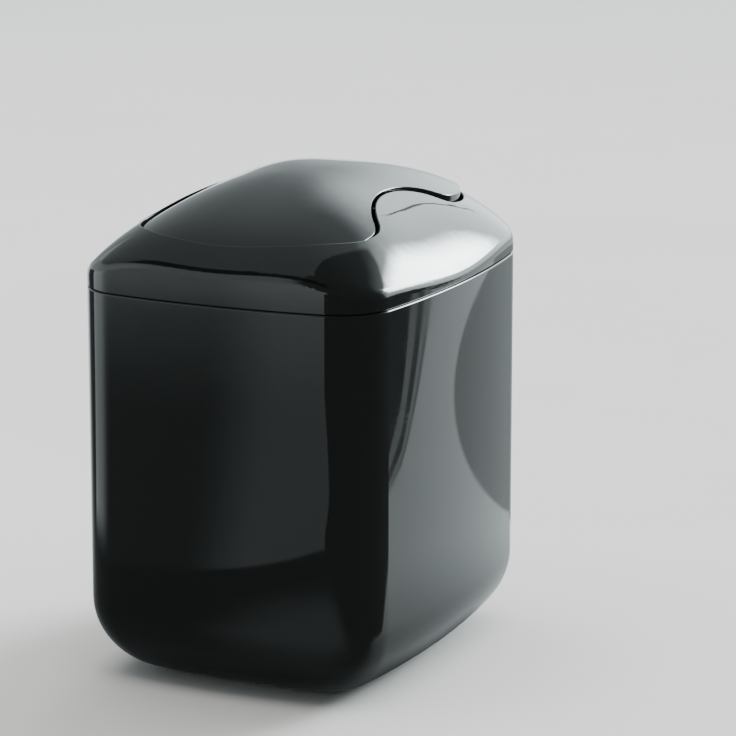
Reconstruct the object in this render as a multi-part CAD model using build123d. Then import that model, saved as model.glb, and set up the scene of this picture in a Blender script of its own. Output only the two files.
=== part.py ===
from build123d import *
import math
import os

# Countertop bin with a domed lid and a swing flap.  Millimetres, +Z up.
# The origin is the middle of the base, on the surface that the bin stands on.
# The narrow front faces -Y, and the long sides face -X and +X.

# --- body, seen from above -------------------------------------------------
width = 140.0               # across the narrow front, along X
depth = 166.0               # along Y
front_bow_radius = 330.0    # front and back bulge gently outwards
side_bow_radius = 415.0     # so do the long sides
corner_radius = 22.0        # the four upright edges

# --- body, seen from the side ----------------------------------------------
seam_height = 160.0         # top of the tub, where the lid sits
overall_height = 200.8      # crown of the lid
base_radius = 32.0          # the walls roll under to the base
base_corner_radius = 7.0    # corners of the flat that the bin stands on
wall = 2.2
floor_thickness = 2.6
rim_round = 0.9             # outer edge of the tub's rim
rim_inner_round = 0.5
base_recess_depth = 0.8     # the middle of the base is raised clear of the counter
base_recess_border = 7.0

# --- dome of the lid -------------------------------------------------------
front_fall = 18.5           # the crown falls this far to the front and back edges
front_power = 2.0
front_roll = 9.7            # and drops this much more in a roll close to them
side_fall = 32.0            # the same two falls to the long sides
side_power = 2.2
side_roll = 6.1
roll_power = 10.0
hip = 1.55                  # how crisply the two arches meet along the hips
shoulder_round = 7.0        # dome into the upright skirt
dome_overhang = 1.06        # the surface is made a little larger than the plan
dome_rows = 27
dome_row_crowding = 0.5     # rows crowd towards the edges, where the roll is
dome_tolerance = 0.003

# --- making aids -----------------------------------------------------------
cut_height = 80.0           # tall enough to pass right through the lid
cut_start = 20.0            # and started this far below the seam
match = 0.05                # an edge this close to a surface lies on it

# --- seam between lid and tub ----------------------------------------------
reveal_height = 0.7         # shadow line under the skirt
reveal_depth = 1.2
lip_clearance = 0.3         # lid's locating lip inside the tub
lip_thickness = 1.6
lip_depth = 8.0
lip_root = 3.0              # the lip's thick root inside the skirt

# --- opening for the flap, seen from above ---------------------------------
opening_half_width = 49.4
opening_half_depth = 74.3
opening_bow_radius = 115.0  # front and back edges bulge outwards
opening_corner = 32.0
tongue_start = 39.0         # the sides turn inwards this far before and after the middle
tongue_reach = 13.4         # each long side has a tongue that reaches inwards
tongue_tip_share = 0.738    # share of the bend's radius taken by the tip
side_gap = 1.4              # wide dark slot beside the tongues
end_gap = 0.6               # tight shut line at front and back
slot_edge_round = 0.4       # both sides of the slot and the shut line

# --- swing flap ------------------------------------------------------------
rim_inset = 1.5             # down-turned stiffening rim under the flap
rim_thickness = 1.6
rim_drop = 7.0
rib_thickness = 1.6         # rib between the two bosses
boss_radius = 3.6           # bosses that carry the balance weight
boss_spacing = 28.0
flap_lean = 2.4             # degrees that the flap rests front edge down
balance_offset = 0.184      # the weight sits this far to the front, which makes it lean

# --- pivot -----------------------------------------------------------------
pivot_height = 185.5
pin_radius = 1.5
pin_running_clearance = 0.05
pin_head_radius = 2.6
pin_head_length = 1.2
lug_radius = 4.6
flap_lug_start = 29.4       # distances from the middle plane
flap_lug_length = 4.2
frame_lug_start = 36.6
frame_lug_length = 3.4
buttress_thickness = 1.6    # web that backs the frame's lug
buttress_end = 54.0
buttress_slope_drop = 5.0

# --- balance weight --------------------------------------------------------
weight_length = 58.0
weight_breadth = 16.0
weight_thickness = 5.0
weight_corner = 3.0
weight_edge = 0.5
weight_top = 177.5          # its upper face, against the bosses
screw_radius = 1.5
screw_grip = 7.0            # thread inside the boss
screw_head_radius = 2.9
screw_head_height = 1.8
screw_head_round = 1.1
screw_slot_length = 3.6     # the two slots of the cross recess
screw_slot_width = 0.6
screw_slot_depth = 1.0


def plan(inset, corner):
    """Bowed rectangle with round corners, moved inwards by inset on every side."""
    front = Pos(0, front_bow_radius - depth / 2) * Circle(front_bow_radius - inset)
    back = Pos(0, depth / 2 - front_bow_radius) * Circle(front_bow_radius - inset)
    left = Pos(side_bow_radius - width / 2, 0) * Circle(side_bow_radius - inset)
    right = Pos(width / 2 - side_bow_radius, 0) * Circle(side_bow_radius - inset)
    shape = front & back & left & right
    return fillet(shape.vertices(), corner)


def upright(inset, bottom, top):
    """Straight-walled block with the body's plan."""
    return extrude(Pos(0, 0, bottom) * plan(inset, corner_radius - inset), top - bottom)


def tub_block(inset, bottom, top):
    """Block with the body's plan whose walls roll under to a smaller flat base."""
    roll = base_radius - inset
    sections = []
    for angle in (0, 12, 26, 40, 54, 67, 79, 90):
        inwards = roll * (1 - math.sin(math.radians(angle)))
        height = roll * (1 - math.cos(math.radians(angle)))
        share = inwards / roll
        corner = (corner_radius - inset) * (1 - share) + (base_corner_radius - inset / 2) * share
        sections.append(Pos(0, 0, bottom + height) * plan(inset + inwards, corner))
    return loft(sections) + upright(inset, bottom + roll, top)


def dome_height(x, y, inset):
    """Height of the domed surface that lies inset below the outside of the lid."""
    across_share = abs(x / (width / 2 - inset))
    along_share = abs(y / (depth / 2 - inset))
    across = side_fall * across_share ** side_power + side_roll * across_share ** roll_power
    along = front_fall * along_share ** front_power + front_roll * along_share ** roll_power
    return overall_height - inset - (across ** hip + along ** hip) ** (1 / hip)


def row_places(reach):
    """Places from -reach to reach, closer together towards the ends."""
    places = []
    for i in range(dome_rows):
        even = 2 * i / (dome_rows - 1) - 1
        crowded = math.sin(math.pi / 2 * even)
        places.append(reach * (even + dome_row_crowding * (crowded - even)))
    return places


def under_dome(inset, drop=0.0):
    """Everything below the domed surface, down past the seam."""
    across = row_places((width / 2 - inset) * dome_overhang)
    along = row_places((depth / 2 - inset) * dome_overhang)
    rows = [[Vector(x, y, dome_height(x, y, inset) - drop) for y in along] for x in across]
    surface = Face.make_surface_from_array_of_points(rows, tol=dome_tolerance, min_deg=3, max_deg=3)
    return extrude(surface, cut_height, dir=(0, 0, -1))


def opening_outline(side, end):
    """Outline of the flap's opening, drawn in by side at the tongues and by end at front and back."""
    bend = math.atan2(tongue_reach, tongue_start) * 2
    bend_radius = tongue_start / math.sin(bend)
    tip_radius = bend_radius * tongue_tip_share
    ear_radius = bend_radius - tip_radius
    turn = math.degrees(bend)
    tip_x = opening_half_width - tongue_reach + tip_radius
    ear_x = opening_half_width - ear_radius
    side_x = opening_half_width - side
    bow_y = opening_bow_radius - opening_half_depth
    bow_radius = opening_bow_radius - end
    corner_radius_here = opening_corner - (side + end) / 2
    corner_x = side_x - corner_radius_here
    corner_y = bow_y - math.sqrt((bow_radius - corner_radius_here) ** 2 - corner_x ** 2)
    meeting = math.degrees(math.atan2(corner_y - bow_y, corner_x))
    front = CenterArc((0, bow_y), bow_radius, -180 - meeting, 2 * (90 + meeting))
    corner = CenterArc((corner_x, corner_y), corner_radius_here, meeting, -meeting)
    straight = Line((side_x, corner_y), (side_x, -tongue_start))
    ear = CenterArc((ear_x, -tongue_start), ear_radius - side, 0, turn)
    tip = CenterArc((tip_x, 0), tip_radius + side, 180 - turn, 2 * turn)
    right = [corner, straight, ear]
    right += [mirror(edge, Plane.XZ) for edge in right] + [tip]
    left = [mirror(edge, Plane.YZ) for edge in right]
    edges = [edge for curve in [front, mirror(front, Plane.XZ)] + right + left for edge in curve.edges()]
    return make_face(edges)


def opening_block(side, end):
    """The outline drawn up through the lid."""
    return extrude(Pos(0, 0, seam_height - cut_start) * opening_outline(side, end), cut_height)


def along_x(radius, start, length):
    """Cylinder along X whose axis is the pivot line."""
    place = Plane(origin=(start, 0, pivot_height), x_dir=(0, 1, 0), z_dir=(1, 0, 0))
    return extrude(place * Circle(radius), length)


def lug(start, length):
    """Bearing lug: a round eye on the pivot line with a neck that runs up into the shell."""
    neck_height = overall_height - pivot_height
    neck = Pos(start + length / 2, 0, pivot_height + neck_height / 2) * Box(
        length, 2 * lug_radius, neck_height)
    return along_x(lug_radius, start, length) + neck


def make_tub():
    body = tub_block(0, 0, seam_height)
    rim = body.edges().filter_by_position(Axis.Z, seam_height - match, seam_height + match)
    body = fillet(rim, rim_round)
    body -= tub_block(wall, floor_thickness, seam_height + 1)
    mouth = body.faces().sort_by(Axis.Z)[-1].inner_wires()[0].edges()
    body = fillet(mouth, rim_inner_round)
    recess = plan(base_radius + base_recess_border, base_corner_radius / 2)
    return body - extrude(recess, base_recess_depth)


def round_slot_edges(solid):
    """Soften the edges on the outside of the dome that border the flap's opening."""
    edges = []
    for edge in solid.edges():
        middle = edge.position_at(0.5)
        near_x = abs(middle.X) < opening_half_width + match
        near_y = abs(middle.Y) < opening_half_depth + match
        if near_x and near_y and abs(middle.Z - dome_height(middle.X, middle.Y, 0)) < match:
            edges.append(edge)
    return fillet(edges, slot_edge_round)


def make_lid_frame():
    skirt_bottom = seam_height + reveal_height
    block = upright(0, skirt_bottom, overall_height + 1) & under_dome(0)
    edges = block.edges().filter_by(Axis.Z, reverse=True)
    shoulder = [edge for edge in edges if edge.center().Z > skirt_bottom + match]
    frame = fillet(shoulder, shoulder_round)
    lip_outside = wall + lip_clearance
    lip_inside = lip_outside + lip_thickness
    frame += upright(reveal_depth, seam_height, skirt_bottom)
    frame += upright(lip_outside, seam_height - lip_depth, seam_height)
    frame -= upright(wall, skirt_bottom + lip_root, overall_height) & under_dome(wall)
    frame -= upright(lip_inside, seam_height - lip_depth, skirt_bottom + lip_root)
    frame = round_slot_edges(frame - opening_block(0, 0))
    bearing = lug(frame_lug_start, frame_lug_length) + buttress()
    bearing &= under_dome(wall / 2)
    bearing -= along_x(pin_radius + pin_running_clearance, frame_lug_start, frame_lug_length)
    for side in (0, 180):
        frame += Rot(0, 0, side) * bearing
    return frame


def buttress():
    """Web from the outer face of the frame's lug up into the dome."""
    start = frame_lug_start + frame_lug_length
    foot = pivot_height - lug_radius
    profile = Plane.XZ * Polyline((start, overall_height), (start, foot),
                                  (buttress_end, foot - buttress_slope_drop),
                                  (buttress_end, overall_height), close=True)
    return extrude(make_face(profile), buttress_thickness / 2, both=True)


def make_swing_flap():
    shell = round_slot_edges((opening_block(side_gap, end_gap) & under_dome(0)) - under_dome(wall))
    ring = opening_block(side_gap + rim_inset, end_gap + rim_inset)
    ring -= opening_block(side_gap + rim_inset + rim_thickness, end_gap + rim_inset + rim_thickness)
    rim = (ring & under_dome(wall / 2)) - under_dome(0, drop=rim_drop)
    flap = shell + rim
    rib_height = overall_height - weight_top
    ribs = Pos(0, -balance_offset, weight_top + rib_height / 2) * Box(
        boss_spacing, rib_thickness, rib_height)
    for x in (-boss_spacing / 2, boss_spacing / 2):
        ribs += Pos(x, -balance_offset, weight_top) * Cylinder(
            boss_radius, rib_height, align=(Align.CENTER, Align.CENTER, Align.MIN))
    for side in (0, 180):
        ribs += Rot(0, 0, side) * lug(flap_lug_start, flap_lug_length)
    flap += ribs & under_dome(wall / 2)
    for x in (-boss_spacing / 2, boss_spacing / 2):
        flap -= Pos(x, -balance_offset, weight_top) * Cylinder(
            screw_radius, screw_grip, align=(Align.CENTER, Align.CENTER, Align.MIN))
    for side in (0, 180):
        flap -= Rot(0, 0, side) * along_x(pin_radius, flap_lug_start, flap_lug_length)
    return flap


def make_pivot_pin(side):
    """Headed pin: pressed outwards through the flap's lug, turning in the frame's lug."""
    end = frame_lug_start + frame_lug_length
    pin = along_x(pin_radius, flap_lug_start, end - flap_lug_start)
    pin += along_x(pin_head_radius, flap_lug_start - pin_head_length, pin_head_length)
    return Rot(0, 0, side) * pin


def make_balance_weight():
    bar = extrude(RectangleRounded(weight_length, weight_breadth, weight_corner), weight_thickness)
    bar = chamfer(bar.edges().filter_by(Plane.XY), weight_edge)
    for x in (-boss_spacing / 2, boss_spacing / 2):
        bar -= Pos(x, 0, weight_thickness / 2) * Cylinder(screw_radius, weight_thickness)
    return Pos(0, -balance_offset, weight_top - weight_thickness) * bar


def make_weight_screw(x):
    """Self-tapping screw with a domed head and a cross recess, driven up from below."""
    weight_bottom = weight_top - weight_thickness
    shank = Cylinder(
        screw_radius, weight_thickness + screw_grip, align=(Align.CENTER, Align.CENTER, Align.MIN))
    head = Pos(0, 0, -screw_head_height / 2) * Cylinder(screw_head_radius, screw_head_height)
    head = fillet(head.edges().sort_by(Axis.Z)[0], screw_head_round)
    slot = Box(screw_slot_length, screw_slot_width, screw_slot_depth)
    cross = slot + Rot(0, 0, 90) * slot
    cross = Pos(0, 0, screw_slot_depth / 2 - screw_head_height) * cross
    return Pos(x, -balance_offset, weight_bottom) * (shank + head - cross)


def lean(solid):
    """Turn a piece of the flap about the pivot line into the pose in which the flap rests."""
    return solid.rotate(Axis((0, 0, pivot_height), (1, 0, 0)), flap_lean)


parts = {
    "tub": make_tub(),
    "lid_frame": make_lid_frame(),
    "swing_flap": lean(make_swing_flap()),
    "pivot_pin_right": make_pivot_pin(0),
    "pivot_pin_left": make_pivot_pin(180),
    "balance_weight": lean(make_balance_weight()),
    "weight_screw_right": lean(make_weight_screw(boss_spacing / 2)),
    "weight_screw_left": lean(make_weight_screw(-boss_spacing / 2)),
}

os.makedirs("parts", exist_ok=True)
for name, solid in parts.items():
    export_step(solid, f"parts/{name}.step")
    size = solid.bounding_box().size
    centre = solid.center(CenterOf.MASS)
    print(name, "volume", round(solid.volume / 1000, 2), "cm3")
    print("  size", round(size.X, 2), round(size.Y, 2), round(size.Z, 2))
    print("  centre of mass", round(centre.X, 2), round(centre.Y, 2), round(centre.Z, 2))
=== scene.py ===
# %% [markdown]
# # A countertop bin with a swing lid, in gloss black
#
# This lesson dresses a small kitchen bin. The bin itself is already modelled: a tall tub, a lid
# frame that drops on top, and a domed flap that rocks on two steel pins with a steel bar under it
# to bring it back. Here the pieces get their finishes, and the finished bin gets a floor, light
# and a camera.
#
# Black gloss is hard to photograph, because the plastic itself sends back almost no light. What
# the eye sees is the room mirrored in it. So half of this lesson is about the plastic, and the
# other half is about what stands around it.

# %% Load the bin
import math

import bpy
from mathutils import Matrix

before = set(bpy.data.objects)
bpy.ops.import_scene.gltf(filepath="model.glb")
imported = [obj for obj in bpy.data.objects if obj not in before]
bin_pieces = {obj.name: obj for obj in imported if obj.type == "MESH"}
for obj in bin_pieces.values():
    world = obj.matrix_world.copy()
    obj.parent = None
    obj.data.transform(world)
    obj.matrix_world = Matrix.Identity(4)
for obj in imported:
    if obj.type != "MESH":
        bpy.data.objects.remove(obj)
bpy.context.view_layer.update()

print("pieces:", ", ".join(sorted(bin_pieces)))

# %% [markdown]
# ## Where to stand
#
# A product picture of something this small is taken from a few paces away with a long lens,
# so that its upright edges stay nearly parallel. The camera stands to the right of the front,
# a little above the lid, and looks down about thirteen degrees. The narrow front and one long
# side are both seen, and the domed lid is seen against the floor behind.

# %% Camera
LENS_MM = 169.33
LOOK_DOWN = 0.232
TURN_LEFT = 0.436

camera = bpy.data.objects.new("camera", bpy.data.cameras.new("camera"))
bpy.context.scene.collection.objects.link(camera)
camera.data.lens = LENS_MM
camera.data.sensor_width = 36.0
camera.location = (0.606283, -1.240878, 0.443947)
camera.rotation_euler = (math.pi / 2 - LOOK_DOWN, 0.0, TURN_LEFT)
bpy.context.scene.camera = camera
print("camera is", round(camera.location.length, 2), "m from the foot of the bin")

# %% [markdown]
# ## A few helpers for finishes
#
# Every finish below is a small graph of nodes. A graph is easier to read when each step is one
# short line, so these helpers add a node, fill in its inputs and hand back its output. An input
# is either a plain number, which is set on the socket, or another node's output, which is linked.
#
# All patterns are laid out in millimetres on the piece itself. The pieces were modelled in place
# around one origin, so their own coordinates, times a thousand, are millimetres on the bin.

# %% Node helpers
MM_IN_A_METRE = 1000.0


class Finish:
    """One material, with short ways to add the nodes of its pattern."""

    def __init__(self, name):
        self.material = bpy.data.materials.new(name)
        self.material.use_nodes = True
        self.tree = self.material.node_tree
        self.shader = self.tree.nodes["Principled BSDF"]
        self.place = self.add("ShaderNodeTexCoord").outputs

    def add(self, kind, **settings):
        node = self.tree.nodes.new(kind)
        for key, value in settings.items():
            setattr(node, key, value)
        return node

    def feed(self, socket, value):
        if isinstance(value, bpy.types.NodeSocket):
            self.tree.links.new(value, socket)
        else:
            socket.default_value = value

    def math(self, operation, first, second=0.0, third=0.0):
        node = self.add("ShaderNodeMath", operation=operation)
        for socket, value in zip(node.inputs, (first, second, third)):
            self.feed(socket, value)
        return node.outputs[0]

    def vector(self, operation, first, second=(0.0, 0.0, 0.0)):
        node = self.add("ShaderNodeVectorMath", operation=operation)
        self.feed(node.inputs[0], first)
        self.feed(node.inputs[1], second)
        return node.outputs["Value" if operation in ("DOT_PRODUCT", "LENGTH") else "Vector"]

    def millimetres(self, stretch=(1.0, 1.0, 1.0)):
        return self.vector("MULTIPLY", self.place["Object"], [MM_IN_A_METRE * s for s in stretch])

    def axes(self, vector):
        node = self.add("ShaderNodeSeparateXYZ")
        self.feed(node.inputs[0], vector)
        return node.outputs

    def blotches(self, where, per_mm, detail=2.0, rough=0.5):
        node = self.add("ShaderNodeTexNoise")
        self.feed(node.inputs["Vector"], where)
        node.inputs["Scale"].default_value = per_mm
        node.inputs["Detail"].default_value = detail
        node.inputs["Roughness"].default_value = rough
        return node.outputs["Fac"]

    def cells(self, where, per_mm, output="Distance", feature="F1"):
        node = self.add("ShaderNodeTexVoronoi", feature=feature)
        self.feed(node.inputs["Vector"], where)
        node.inputs["Scale"].default_value = per_mm
        return node.outputs[output]

    def between(self, value, low, high, out_low=0.0, out_high=1.0):
        node = self.add("ShaderNodeMapRange", interpolation_type="SMOOTHSTEP")
        for socket, number in zip(node.inputs, (value, low, high, out_low, out_high)):
            self.feed(socket, number)
        return node.outputs[0]

    def blend(self, share, first, second):
        node = self.add("ShaderNodeMix", data_type="RGBA")
        self.feed(node.inputs["Factor"], share)
        for socket, colour in zip([s for s in node.inputs if s.type == "RGBA"], (first, second)):
            self.feed(socket, colour if isinstance(colour, bpy.types.NodeSocket) else (*colour, 1.0))
        return [s for s in node.outputs if s.type == "RGBA"][0]

    def relief(self, height, depth_mm, over=None):
        node = self.add("ShaderNodeBump")
        node.inputs["Strength"].default_value = 1.0
        node.inputs["Distance"].default_value = depth_mm / MM_IN_A_METRE
        self.feed(node.inputs["Height"], height)
        if over is not None:
            self.feed(node.inputs["Normal"], over)
        return node.outputs["Normal"]

    def set(self, **sockets):
        for key, value in sockets.items():
            self.feed(self.shader.inputs[key.replace("_", " ")], value)

    def glow(self, strength, colour):
        """Give off light instead of mirroring it, for the pieces of the set."""
        light = self.add("ShaderNodeEmission")
        self.feed(light.inputs["Strength"], strength)
        self.feed(light.inputs["Color"], colour)
        self.feed(self.tree.nodes["Material Output"].inputs["Surface"], light.outputs[0])


def dress(finish, *names):
    for name in names:
        bin_pieces[name].data.materials.clear()
        bin_pieces[name].data.materials.append(finish.material)
    print(finish.material.name, "on", ", ".join(names), "with", len(finish.tree.nodes), "nodes")


# %% [markdown]
# ## The moulded black plastic
#
# The tub, the lid frame and the flap are injection moulded. The outside of the mould is polished
# like a mirror, so the outside of the bin is too. The inside of the mould is left with a fine
# satin grain, because nobody looks there and a satin face lets go of the plastic more easily.
#
# Which side of a wall a point is on can be read from its own normal: outside, the normal points
# away from the middle of the bin, and inside it points back at it. One dot product tells the two
# apart, so a single material does both faces, and its border falls inside the rounded rims, where
# a real mould changes over too.

# %% Inside or outside
def facing_inwards(plastic, middle_mm):
    """1 on the faces that look at the middle of the bin, 0 on the outside."""
    from_middle = plastic.vector("SUBTRACT", plastic.millimetres(), middle_mm)
    direction = plastic.vector("NORMALIZE", from_middle)
    outwards = plastic.vector("DOT_PRODUCT", direction, plastic.place["Normal"])
    return plastic.between(outwards, 0.02, -0.06)


print("inside and outside are told apart by the normal")

# %% [markdown]
# ## What gives polished plastic its life
#
# A perfect mirror looks like computer graphics. On the real bin the gloss is broken by four
# small things, none of which is seen by itself:
#
# - the surface is very slightly uneven, like the skin of an orange, so straight reflections
#   wander by a hair;
# - a hand or a cloth leaves soft cloudy patches that are a little less shiny;
# - wiping leaves hair-thin scratches that run mostly one way;
# - a few specks of dust have settled, mostly on what faces up.
#
# Each is one noise or cell pattern with its own scale in millimetres.

# %% Orange peel, smears, wipe marks and dust
def orange_peel(plastic):
    """Height of the faint unevenness, in two sizes: a slow wander and a fine skin."""
    slow = plastic.blotches(plastic.millimetres(), 0.045, detail=1.0)
    fine = plastic.blotches(plastic.millimetres(), 0.45, detail=1.0)
    return plastic.math("MULTIPLY_ADD", fine, 0.02, slow)


def smears(plastic):
    """Soft cloudy patches left by a cloth, drawn out sideways."""
    cloud = plastic.blotches(plastic.millimetres((0.5, 0.5, 1.3)), 0.028, detail=3.0, rough=0.6)
    return plastic.between(cloud, 0.45, 0.72)


def wipe_marks(plastic):
    """Hair-thin scratches: long thin cells, of which only the edges are kept."""
    turned = plastic.add("ShaderNodeMapping")
    plastic.feed(turned.inputs["Vector"], plastic.millimetres())
    turned.inputs["Rotation"].default_value = (0.35, 0.5, 0.25)
    turned.inputs["Scale"].default_value = (0.05, 0.05, 1.1)
    edge = plastic.cells(turned.outputs[0], 0.55, feature="DISTANCE_TO_EDGE")
    patchy = plastic.between(plastic.blotches(plastic.millimetres(), 0.05), 0.5, 0.62)
    return plastic.math("MULTIPLY", plastic.between(edge, 0.016, 0.004), patchy)


def dust(plastic):
    """Specks a fifth of a millimetre across, kept in only a few cells and mostly on top."""
    speck = plastic.between(plastic.cells(plastic.millimetres(), 0.22), 0.03, 0.018)
    chance = plastic.axes(plastic.cells(plastic.millimetres(), 0.22, output="Color"))[0]
    few = plastic.math("GREATER_THAN", chance, 0.83)
    up = plastic.between(plastic.axes(plastic.place["Normal"])[2], -0.1, 0.8, 0.35, 1.0)
    return plastic.math("MULTIPLY", plastic.math("MULTIPLY", speck, few), up)


print("four kinds of wear, between 0.02 and 30 mm in size")

# %% [markdown]
# ## Putting the plastic together
#
# The colour is nearly nothing: a very dark, faintly cool black that varies a little where the
# pigment flowed. Roughness carries most of the story. Outside it is close to a mirror, and the
# smears and scratches raise it a touch. Inside it is satin all over, with a fine grain.
#
# The tub also carries the mark of its gate, where the plastic was let into the mould: a shallow
# round dimple with a small nib, in the middle of the raised part under its base.

# %% Gloss black, satin inside
OUTSIDE_BLACK = (0.0042, 0.0048, 0.0047)
FLOW_BLACK = (0.0062, 0.0069, 0.0066)
SATIN_BLACK = (0.010, 0.0108, 0.0106)
DUST_GREY = (0.20, 0.20, 0.19)


def gloss_black(name, middle_mm, gate=False):
    plastic = Finish(name)
    inside = facing_inwards(plastic, middle_mm)
    specks = dust(plastic)
    scratches = wipe_marks(plastic)

    flow = plastic.blotches(plastic.millimetres((1.0, 1.0, 0.35)), 0.02, detail=3.0)
    colour = plastic.blend(flow, OUTSIDE_BLACK, FLOW_BLACK)
    colour = plastic.blend(inside, colour, SATIN_BLACK)
    colour = plastic.blend(specks, colour, DUST_GREY)

    gloss = plastic.math("MULTIPLY_ADD", smears(plastic), 0.035, 0.03)
    gloss = plastic.math("MULTIPLY_ADD", scratches, 0.10, gloss)
    gloss = plastic.math("MULTIPLY_ADD", specks, 0.5, gloss)
    grain = plastic.blotches(plastic.millimetres(), 1.6, detail=3.0)
    satin = plastic.math("MULTIPLY_ADD", grain, 0.16, 0.24)
    mix = plastic.add("ShaderNodeMix", data_type="FLOAT")
    for place, value in ((0, inside), (2, gloss), (3, satin)):
        plastic.feed(mix.inputs[place], value)

    skin = plastic.relief(orange_peel(plastic), 0.016)
    skin = plastic.relief(plastic.math("MULTIPLY", grain, inside), 0.03, over=skin)
    skin = plastic.relief(plastic.math("MULTIPLY", scratches, -1.0), 0.002, over=skin)
    skin = plastic.relief(specks, 0.03, over=skin)
    if gate:
        flat = plastic.vector("MULTIPLY", plastic.millimetres(), (1.0, 1.0, 0.0))
        radius = plastic.vector("LENGTH", flat)
        under = plastic.between(plastic.axes(plastic.millimetres())[2], 2.2, 1.4)
        dimple = plastic.between(radius, 5.0, 4.2)
        nib = plastic.between(radius, 1.1, 0.8)
        mark = plastic.math("MULTIPLY", plastic.math("SUBTRACT", nib, dimple), under)
        skin = plastic.relief(mark, 0.3, over=skin)
    plastic.set(Base_Color=colour, Roughness=mix.outputs[0], Normal=skin, IOR=1.5)
    return plastic


tub_plastic = gloss_black("polished_black_tub", (0.0, 0.0, 85.0), gate=True)
frame_plastic = gloss_black("polished_black_frame", (0.0, 0.0, 120.0))
flap_plastic = gloss_black("polished_black_flap", (0.0, 0.0, 60.0))
dress(tub_plastic, "tub")
dress(frame_plastic, "lid_frame")
dress(flap_plastic, "swing_flap")

# %% [markdown]
# ## The steel under the flap
#
# Three kinds of steel hide under the flap, and each was made another way:
#
# - the pivot pins are cut from drawn wire, so fine lines run along them, and their heads show the
#   rings of the tool that pressed them;
# - the balance weight is cut from flat bar and then tumbled with stones, which leaves it soft
#   grey with small dents, and its zinc has clouded a little;
# - the screws are bright zinc, with painted shade darkening the recess of their cross.

# %% Drawn wire pins
PIVOT_HEIGHT_MM = 185.5


def drawn_wire():
    wire = Finish("drawn_steel_pins")
    lines = wire.blotches(wire.millimetres((0.15, 3.0, 3.0)), 2.0, detail=4.0, rough=0.65)
    along = wire.axes(wire.millimetres())[0]
    from_axis = wire.vector("SUBTRACT", wire.millimetres((0.0, 1.0, 1.0)), (0.0, 0.0, PIVOT_HEIGHT_MM))
    rings = wire.math("SINE", wire.math("MULTIPLY", wire.vector("LENGTH", from_axis), 14.0))
    on_end = wire.between(wire.math("ABSOLUTE", wire.axes(wire.place["Normal"])[0]), 0.7, 0.9)
    height = wire.math("MULTIPLY_ADD", wire.math("MULTIPLY", rings, on_end), 0.35, lines)
    tarnish = wire.blotches(wire.millimetres(), 0.35, detail=3.0)
    near_rim = wire.between(wire.math("ABSOLUTE", along), 28.3, 28.9, 0.2, 0.0)
    colour = wire.blend(tarnish, (0.40, 0.395, 0.385), (0.26, 0.255, 0.245))
    colour = wire.blend(near_rim, colour, (0.14, 0.135, 0.13))
    wire.set(Base_Color=colour, Metallic=1.0,
             Roughness=wire.between(lines, 0.3, 0.7, 0.32, 0.48),
             Normal=wire.relief(height, 0.02))
    return wire


dress(drawn_wire(), "pivot_pin_right", "pivot_pin_left")

# %% Tumbled bar for the weight
def tumbled_bar():
    bar = Finish("tumbled_zinc_weight")
    dents = bar.between(bar.cells(bar.millimetres(), 0.5), 0.22, 0.05)
    frosting = bar.blotches(bar.millimetres(), 3.0, detail=3.0)
    cloud = bar.blotches(bar.millimetres(), 0.11, detail=4.0, rough=0.6)
    saw = bar.math("SINE", bar.math("MULTIPLY", bar.axes(bar.millimetres())[2], 9.0))
    sawn_end = bar.between(bar.math("ABSOLUTE", bar.axes(bar.place["Normal"])[0]), 0.85, 0.95)
    colour = bar.blend(cloud, (0.50, 0.51, 0.53), (0.34, 0.34, 0.345))
    colour = bar.blend(bar.math("MULTIPLY", dents, 0.35), colour, (0.22, 0.22, 0.22))
    skin = bar.relief(frosting, 0.012)
    skin = bar.relief(bar.math("MULTIPLY", dents, -1.0), 0.08, over=skin)
    skin = bar.relief(bar.math("MULTIPLY", saw, sawn_end), 0.03, over=skin)
    shine = bar.between(cloud, 0.3, 0.7, 0.30, 0.48)
    bar.set(Base_Color=colour, Metallic=1.0, Roughness=shine, Normal=skin)
    return bar


dress(tumbled_bar(), "balance_weight")

# %% Bright zinc screws
SCREW_X_MM = 14.0


def bright_zinc():
    zinc = Finish("bright_zinc_screws")
    spangle = zinc.cells(zinc.millimetres(), 1.4, output="Color")
    tint = zinc.axes(spangle)[0]
    height = zinc.axes(zinc.millimetres())[2]
    deep = zinc.between(height, 170.9, 171.6)
    shank = zinc.between(height, 172.6, 172.9)
    thread = zinc.math("MULTIPLY", zinc.math("SINE", zinc.math("MULTIPLY", height, 6.3)), shank)
    across = zinc.axes(zinc.millimetres())[0]
    from_screw = zinc.math("SUBTRACT", zinc.math("ABSOLUTE", across), SCREW_X_MM)
    in_recess = zinc.between(zinc.math("ABSOLUTE", from_screw), 1.9, 1.7)
    # Painted shade: the recess of the cross is darkened in colour, where little light reaches.
    recess_shade = zinc.math("MULTIPLY", zinc.math("MULTIPLY", deep, in_recess), 0.7)
    colour = zinc.blend(tint, (0.66, 0.68, 0.70), (0.54, 0.55, 0.58))
    colour = zinc.blend(recess_shade, colour, (0.10, 0.10, 0.10))
    skin = zinc.relief(zinc.blotches(zinc.millimetres(), 2.5, detail=2.0), 0.012)
    skin = zinc.relief(thread, 0.25, over=skin)
    shine = zinc.between(tint, 0.0, 1.0, 0.20, 0.32)
    zinc.set(Base_Color=colour, Metallic=1.0, Roughness=shine, Normal=skin)
    return zinc


dress(bright_zinc(), "weight_screw_right", "weight_screw_left")

# %% [markdown]
# ## The floor
#
# The bin stands on a plain pale floor that runs far enough every way to fill the whole picture,
# so that there is no horizon behind the lid. It is matt, with a hint of grain in its tone, and it
# belongs to the picture and not to the bin.

# %% Pale floor
FLOOR_SIZE = 60.0

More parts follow.
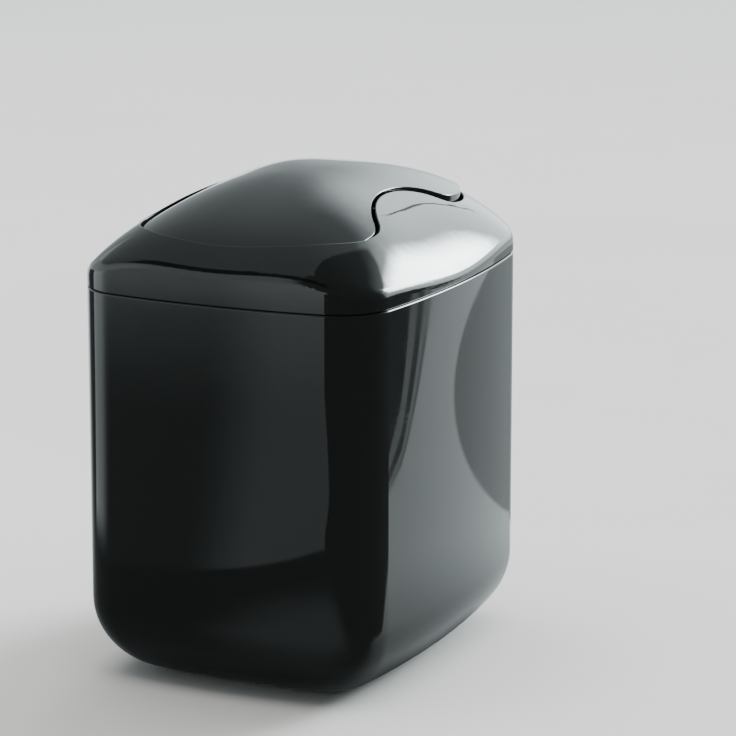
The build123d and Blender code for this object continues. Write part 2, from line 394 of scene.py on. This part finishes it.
bpy.ops.object.select_all(action="DESELECT")
bpy.ops.mesh.primitive_plane_add(size=FLOOR_SIZE)
floor = bpy.context.active_object
floor.name = "floor"
stone = Finish("pale_floor")
veins = stone.blotches(stone.place["Object"], 5.0, detail=5.0, rough=0.6)
stone.set(Base_Color=stone.blend(veins, (0.75, 0.725, 0.70), (0.82, 0.80, 0.78)), Roughness=0.9,
          Specular_IOR_Level=0.1)
floor.data.materials.append(stone.material)
print("floor is", FLOOR_SIZE, "m square")

# %% [markdown]
# Seen from low down, the floor ends somewhere. A studio hides that behind a tall round backdrop.
# This one is an open cylinder, as pale as the floor, which only the camera sees, so that it stands
# in the way of neither the light nor the reflections.

# %% Round backdrop
BACKDROP_RADIUS = 9.0
BACKDROP_HEIGHT = 12.0
BELOW_FLOOR = 0.5


def seen_only_by(stage_piece, rays):
    """Hide a piece of the set from every kind of ray but one."""
    for kind in ("camera", "diffuse", "glossy", "transmission", "volume_scatter", "shadow"):
        setattr(stage_piece, "visible_" + kind, kind == rays)


bpy.ops.object.select_all(action="DESELECT")
bpy.ops.mesh.primitive_cylinder_add(
    vertices=128, radius=BACKDROP_RADIUS, depth=BACKDROP_HEIGHT, end_fill_type="NOTHING",
    location=(0.0, 0.0, BACKDROP_HEIGHT / 2 - BELOW_FLOOR))
bpy.ops.object.shade_smooth()
backdrop = bpy.context.active_object
backdrop.name = "backdrop"
seen_only_by(backdrop, "camera")

cloth = Finish("pale_backdrop")
folds = cloth.blotches(cloth.place["Object"], 0.25, detail=2.0)
cloth.glow(1.55, cloth.blend(folds, (1.0, 0.99, 0.98), (0.96, 0.95, 0.94)))
backdrop.data.materials.append(cloth.material)
print("backdrop has", len(backdrop.data.polygons), "faces")

# %% [markdown]
# ## What the bin mirrors from above
#
# The sky over this set is painted: a world whose brightness depends only on the direction in
# which one looks. It starts as an even soft grey. A broad bright window stands behind the bin to
# the right, and its middle burns brighter, which gives the lid its long white highlight. Two
# panels make it up, and the thin dark joint between them is the hairline that runs over the right
# tongue. All the way round the right shoulder the sky is dark, and that draws the black corner.
# In front on the left the sky just over the table is bright, for the skirt of the lid, and a dark
# line lies over it, which becomes the fine black line under the brow.
#
# A direction is a height above the horizon and a compass bearing, both in degrees. A compass
# jumps from one end of its scale to the other somewhere, and a jump would show as a hard edge in
# the gloss. So there are two: one turns from straight behind towards the right, for what stands
# behind the bin, and one turns from straight in front towards the left, for the rest.

# %% A sky to paint on
COOL_LIGHT = (0.88, 0.985, 1.0, 1.0)
TO_DEGREES = 180.0 / math.pi

world = bpy.data.worlds.new("studio_sky")
bpy.context.scene.world = world
world.use_nodes = True


class Sky(Finish):
    """The same node helpers for the world, with its directions in degrees."""

    def __init__(self, tree):
        self.tree = tree
        self.shader = tree.nodes["Background"]
        self.place = self.add("ShaderNodeTexCoord").outputs
        x, y, z = self.axes(self.place["Generated"])
        self.from_behind = self.compass(x, y)
        self.from_front = self.compass(self.math("MULTIPLY", x, -1.0), self.math("MULTIPLY", y, -1.0))
        self.height = self.math("MULTIPLY", self.math("ARCSINE", z), TO_DEGREES)

    def compass(self, sideways, ahead):
        return self.math("MULTIPLY", self.math("ARCTAN2", sideways, ahead), TO_DEGREES)

    def band(self, value, low, high, soft):
        """1 from low to high, falling to 0 over the soft width on either side."""
        rise = self.between(value, low - soft, low)
        fall = self.between(value, high + soft, high)
        return self.math("MULTIPLY", rise, fall)

    def patch(self, compass, bearings, soft_bearing, heights, soft_height):
        across = self.band(compass, *bearings, soft_bearing)
        up = self.band(self.height, *heights, soft_height)
        return self.math("MULTIPLY", across, up)


sky = Sky(world.node_tree)
print("two compasses and a height, from", len(world.node_tree.nodes), "nodes")

# %% Bright parts of the sky
EVEN_SKY = 0.62

window = sky.patch(sky.from_behind, (0, 34), 30, (10, 27), 20)
window_middle = sky.patch(sky.from_behind, (21, 35), 10, (17, 26), 8)
low_left = sky.patch(sky.from_front, (15, 125), 6, (-12, 22), 4)
lower_left = sky.patch(sky.from_front, (46, 90), 14, (-12, 10), 18)
light = EVEN_SKY
for patch, brightness in ((window, 5.0), (window_middle, 45.0), (low_left, 0.6), (lower_left, 0.5)):
    light = sky.math("MULTIPLY_ADD", patch, brightness, light)
print("four bright patches on an even sky of", EVEN_SKY)

# %% [markdown]
# The dark parts are painted over the bright ones, each by the share of the light that it takes
# away. The lower border of the dark shoulder slopes down to the right, so that part is told by the
# height plus a share of the bearing.

# %% Dark parts of the sky
SLOPE = 0.45

joint = sky.patch(sky.from_behind, (-0.45, -0.25), 0.45, (17, 28), 2)
brow_line = sky.patch(sky.from_front, (-4, 50), 10, (28, 40), 5)
sloping_height = sky.math("MULTIPLY_ADD", sky.from_behind, SLOPE, sky.height)
above_slope = sky.between(sloping_height, 44.5, 47.0)
shoulder = sky.math("MULTIPLY", sky.band(sky.from_behind, 14, 190, 3), above_slope)
right_side = sky.band(sky.from_front, -126, 8, 5)
dark_right = sky.math("MAXIMUM", shoulder, right_side)
for shade, taken_away in ((dark_right, 0.7), (brow_line, 0.9), (joint, 0.9)):
    light = sky.math("MULTIPLY", light, sky.math("MULTIPLY_ADD", shade, -taken_away, 1.0))
sky.feed(sky.shader.inputs["Strength"], light)
sky.shader.inputs["Color"].default_value = COOL_LIGHT
print("sky painted with", len(world.node_tree.nodes), "nodes")

# %% [markdown]
# ## What the bin mirrors from the table
#
# The upright walls look down at the table and mirror what lies on it. A photographer lays cards
# there, just out of the picture: black where an edge should go dark, and grey or white where a
# face should glow. Here one big card lies a millimetre and a half above the floor, seen only in
# reflections, and its brightness is painted on it in the same way as the sky.
#
# It has three parts:
#
# - in front on the left, beyond a rounded border, it is grey and grows lighter with distance,
#   which draws a soft panel on the front;
# - behind on the right it is bright, for the long side, with a darker round patch in it and a
#   few stripes along its border that draw thin streaks beside the black corner;
# - under the bin and close round its foot it is nearly black, as the bin shades the table there.

# %% Card for reflections
CARD_HEIGHT = 0.0015

bpy.ops.object.select_all(action="DESELECT")
bpy.ops.mesh.primitive_plane_add(size=FLOOR_SIZE, location=(0.0, 0.0, CARD_HEIGHT))
card = bpy.context.active_object
card.name = "reflection_card"
seen_only_by(card, "glossy")

paper = Finish("reflection_card")
x, y = paper.axes(paper.millimetres())[:2]
flat = paper.vector("MULTIPLY", paper.millimetres(), (1.0, 1.0, 0.0))
away = paper.vector("LENGTH", flat)
leftwards = paper.math("ARCTAN2", paper.math("MULTIPLY", x, -1.0), paper.math("MULTIPLY", y, -1.0))
leftwards = paper.math("MULTIPLY", leftwards, TO_DEGREES)


def distance_from(x_mm, y_mm):
    return paper.vector("LENGTH", paper.vector("SUBTRACT", flat, (x_mm, y_mm, 0.0)))


print("card lies", MM_IN_A_METRE * CARD_HEIGHT, "mm above the floor")

# %% The panel in front
PANEL_NEAR_MM = 250.0
PANEL_CORNER_MM = 170.0


def rounded_border(side, front, radius):
    """Distance inside the border where two straight edges meet in a round corner."""
    gaps = [paper.math("MAXIMUM", paper.math("SUBTRACT", radius, gap), 0.0) for gap in (side, front)]
    squares = [paper.math("MULTIPLY", gap, gap) for gap in gaps]
    return paper.math("SUBTRACT", radius, paper.math("SQRT", paper.math("ADD", *squares)))


right_edge = paper.between(away, 400.0, 850.0, 54.0, -45.0)
from_right = paper.math("SUBTRACT", right_edge, x)
from_near = paper.math("SUBTRACT", away, PANEL_NEAR_MM)
inside_panel = paper.between(rounded_border(from_right, from_near, PANEL_CORNER_MM), -3.0, 3.0)
panel = paper.math("MULTIPLY", inside_panel, paper.between(y, -20.0, -40.0))
left_end = paper.math("MULTIPLY", paper.between(leftwards, 48.0, 68.0), paper.between(away, 250.0, 330.0))
panel_tone = 0.06
for part, brightness in ((paper.between(leftwards, 26.0, 11.0), 0.46),
                         (paper.between(away, 520.0, 860.0), 0.38),
                         (paper.between(away, 770.0, 900.0), 0.6),
                         (left_end, 1.25)):
    panel_tone = paper.math("MULTIPLY_ADD", part, brightness, panel_tone)
print("the panel starts", PANEL_NEAR_MM, "mm in front")

# %% Bright card behind on the right, with its stripes
BORDER_AT_ORIGIN_MM = 169.0
BORDER_LEAN = 0.624
STRIPE_STOPS = ((0.04, 0.42), (0.34, 0.42), (0.39, 0.07), (0.62, 0.07),
                (0.68, 0.55), (0.78, 0.55), (0.84, 0.33), (0.92, 0.33))

border = paper.math("MULTIPLY_ADD", y, BORDER_LEAN, BORDER_AT_ORIGIN_MM)
stripe_width = paper.math("MAXIMUM", paper.math("MULTIPLY_ADD", y, 0.179, -19.3), 8.0)
past_border = paper.math("DIVIDE", paper.math("SUBTRACT", border, x), stripe_width)
stripes = paper.add("ShaderNodeValToRGB")
paper.feed(stripes.inputs[0], past_border)
for place, shade in STRIPE_STOPS:
    stripes.color_ramp.elements.new(place).color = (shade, shade, shade, 1.0)
side_light = paper.axes(stripes.outputs[0])[0]
left_behind = paper.math("MULTIPLY_ADD", x, 0.466, y)
side_light = paper.math("MULTIPLY", side_light, paper.between(y, -75.0, -55.0))
side_light = paper.math("MULTIPLY", side_light, paper.between(left_behind, -150.0, 100.0))
side_tone = paper.between(distance_from(-80.0, 584.0), 388.0, 397.0, 0.62, 1.6)
side_tone = paper.math("MULTIPLY", side_tone, paper.between(away, 70.0, 230.0, 0.4, 1.0))
print(len(STRIPE_STOPS), "stops make the stripes")

# %% All of it on the card
CARD_GREY = 0.14

tone = paper.math("MULTIPLY", panel, panel_tone)
tone = paper.math("MULTIPLY_ADD", side_light, side_tone, tone)
tone = paper.math("MULTIPLY_ADD", paper.between(distance_from(35.0, -165.0), 95.0, 35.0), 0.3, tone)
tone = paper.math("ADD", tone, CARD_GREY)
halves = ((x, 70.0), (y, 83.0))
shares = [paper.math("ABSOLUTE", paper.math("DIVIDE", value, half)) for value, half in halves]
past_foot = paper.math("ADD", *[paper.math("POWER", share, 4.0) for share in shares])
tone = paper.math("MULTIPLY", tone, paper.between(past_foot, 0.2, 1.0, 0.05, 1.0))
paper.glow(tone, COOL_LIGHT)
card.data.materials.append(paper.material)
print("card painted with", len(paper.tree.nodes), "nodes")

# %% [markdown]
# ## One lamp for the floor
#
# The painted sky lights everything softly already. One large warm lamp overhead lifts the floor
# and gives the bin a soft shadow under its rounded foot. It is hidden from reflections, because
# the sky has already said what the plastic should mirror.

# %% Soft lamp
LAMP_SIZE = 3.0
LAMP_WATTS = 60.0

lamp = bpy.data.objects.new("soft_lamp", bpy.data.lights.new("soft_lamp", "AREA"))
bpy.context.scene.collection.objects.link(lamp)
lamp.data.shape = "RECTANGLE"
lamp.data.size = LAMP_SIZE
lamp.data.size_y = LAMP_SIZE
lamp.data.energy = LAMP_WATTS
lamp.data.color = (1.0, 0.97, 0.94)
lamp.location = (0.0, 0.4, 2.2)
lamp.visible_glossy = False
print("lamp gives", lamp.data.energy, "W")
